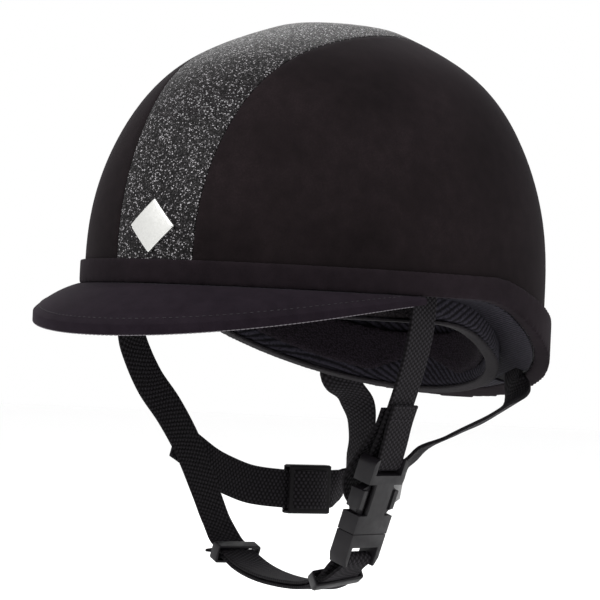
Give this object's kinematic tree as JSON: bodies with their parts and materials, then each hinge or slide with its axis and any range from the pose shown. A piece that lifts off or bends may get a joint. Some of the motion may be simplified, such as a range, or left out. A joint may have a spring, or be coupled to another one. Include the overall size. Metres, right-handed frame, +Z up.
{
  "type": "riding_helmet",
  "caption": "Peaked riding helmet with a glitter centre panel between suede sides, a padded rim band, a soft headband and a webbing harness with a side-release buckle.",
  "frame": {"origin": "Centre of the head opening, level with the widest part of the crown. The mount head is there.", "axes": "X runs to the wearer's left, Y to the back of the head, Z up. The peak points to -Y."},
  "size_m": [0.2088, 0.2976, 0.2739],
  "materials": {
    "glitter_fabric": "black fabric with fine pale glitter flecks",
    "suede": "matt dark suede with soft blotches",
    "band_fabric": "matt woven cover over thin padding",
    "shell": "moulded hard shell, hidden under the covers",
    "foam": "expanded bead foam, hidden under the lining",
    "lining_fabric": "thin dark lining cloth",
    "terry": "short looped terry towelling",
    "mesh": "diagonal knit mesh, navy black",
    "binding": "dark woven edge binding with a pale lower edge",
    "pad_fabric": "textured dark purple cloth",
    "webbing": "ribbed woven webbing",
    "plastic": "fine-grained moulded plastic",
    "gloss_clip": "glossy moulded plastic",
    "badge_plate": "smooth grey plate, plain",
    "peak_board": "flexible board inside the peak",
    "rivet": "satin steel"
  },
  "bodies": {
    "helmet": {"centre_panel": "glitter_fabric", "side_cover_left": "suede", "side_cover_right": "suede", "outer_shell": "shell", "impact_liner": "foam", "crown_lining": "lining_fabric", "headband_front": "terry", "headband_rear": "mesh", "headband_binding": "binding", "nape_pad": "pad_fabric", "rim_lining": "lining_fabric", "rim_band": "band_fabric", "harness_rivets": "rivet", "harness_washers": "rivet", "badge": "badge_plate", "peak_cover": "suede", "peak_board": "peak_board", "peak_lining": "lining_fabric", "rear_strap_left": "webbing", "rear_strap_right": "webbing"},
    "harness": {"front_strap_left": "webbing", "front_strap_right": "webbing", "chin_strap": "webbing", "chin_strap_tail": "webbing", "buckle_socket": "plastic", "rear_tab_left": "webbing", "rear_clip_left": "gloss_clip", "rear_tab_right": "webbing", "rear_slider_right": "plastic"},
    "plug": {"buckle_plug": "plastic", "buckle_keeper": "plastic"},
    "prong_front": {"buckle_prong_front": "plastic"},
    "prong_rear": {"buckle_prong_rear": "plastic"},
    "keeper": {"chin_keeper": "plastic"}
  },
  "joints": [
    {"name": "harness_swing", "type": "hinge", "parent": "helmet", "child": "harness", "pos_m": [0, -0.047, -0.0035], "axis": [1, 0, 0], "range_deg": [0, 16], "deforming": ["rear_strap_left", "rear_strap_right"]},
    {"name": "buckle_pull", "type": "slide", "parent": "harness", "child": "plug", "axis": [-0.3123, 0, -0.95], "range_m": [0, 0.03], "deforming": ["chin_strap", "chin_strap_tail", "buckle_prong_front", "buckle_prong_rear"]},
    {"name": "prong_front_squeeze", "type": "hinge", "parent": "plug", "child": "prong_front", "pos_m": [0.05794, -0.057, -0.11815], "axis": [-0.95, 0, 0.3123], "range_deg": [0, 10], "stiffness_Nm_per_rad": 0.02},
    {"name": "prong_rear_squeeze", "type": "hinge", "parent": "plug", "child": "prong_rear", "pos_m": [0.05794, -0.039, -0.11815], "axis": [0.95, 0, -0.3123], "range_deg": [0, 10], "stiffness_Nm_per_rad": 0.02},
    {"name": "chin_keeper_slide", "type": "slide", "parent": "harness", "child": "keeper", "axis": [0.8772, -0.3054, -0.3704], "range_m": [-0.002, 0.002]}
  ],
  "couplings": [
    {"joint": "prong_rear_squeeze", "follows": "prong_front_squeeze", "ratio": 1}
  ]
}
